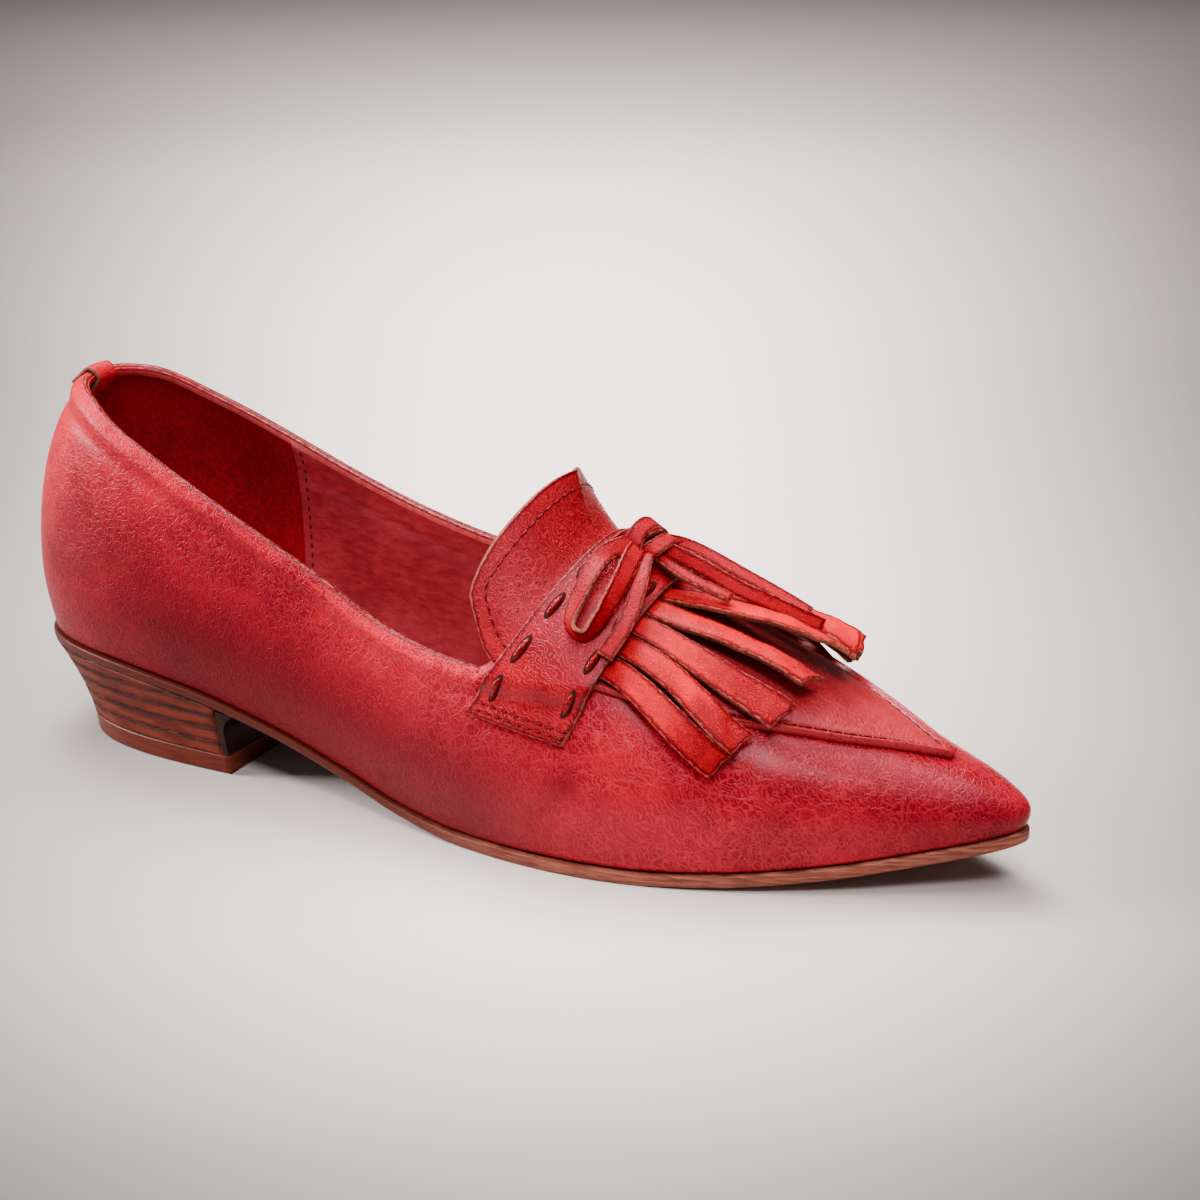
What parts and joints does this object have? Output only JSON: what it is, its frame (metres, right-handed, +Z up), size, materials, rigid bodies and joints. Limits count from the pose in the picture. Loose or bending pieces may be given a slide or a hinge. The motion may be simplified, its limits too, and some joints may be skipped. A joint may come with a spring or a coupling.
{
  "type": "tassel loafer",
  "caption": "Slip-on pointed loafer with a low stacked heel, a flared tongue and an instep strap tied with a leather bow over a cut fringe; hollow inside.",
  "frame": {"origin": "centre of the heel's ground face", "axes": "+X to the toe, +Z up, -Y to the outer side of the foot; the shoe is the right one of a pair"},
  "size_m": [0.2633, 0.0793, 0.0947],
  "materials": {
    "upper": "burnished red leather",
    "outsole": "smooth tan sole leather",
    "insole": "matt red lining leather",
    "top_lift": "smooth brown",
    "heel_lift_1": "stacked russet leather",
    "heel_lift_2": "stacked russet leather",
    "heel_lift_3": "stacked russet leather",
    "heel_lift_4": "stacked russet leather",
    "heel_lift_5": "stacked russet leather",
    "heel_breast_facing": "polished tan leather",
    "tongue": "burnished red leather, raw edge",
    "apron": "burnished red leather",
    "kiltie_fringe": "soft red leather, raw edges",
    "saddle_strap": "burnished red leather",
    "bow": "soft red leather thong",
    "back_tab": "burnished red leather"
  },
  "bodies": {
    "root": {"upper": "upper", "outsole": "outsole", "insole": "insole", "top_lift": "top_lift", "heel_lift_1": "heel_lift_1", "heel_lift_2": "heel_lift_2", "heel_lift_3": "heel_lift_3", "heel_lift_4": "heel_lift_4", "heel_lift_5": "heel_lift_5", "heel_breast_facing": "heel_breast_facing", "tongue": "tongue", "apron": "apron", "kiltie_fringe": "kiltie_fringe", "saddle_strap": "saddle_strap", "bow": "bow", "back_tab": "back_tab"}
  },
  "joints": []
}
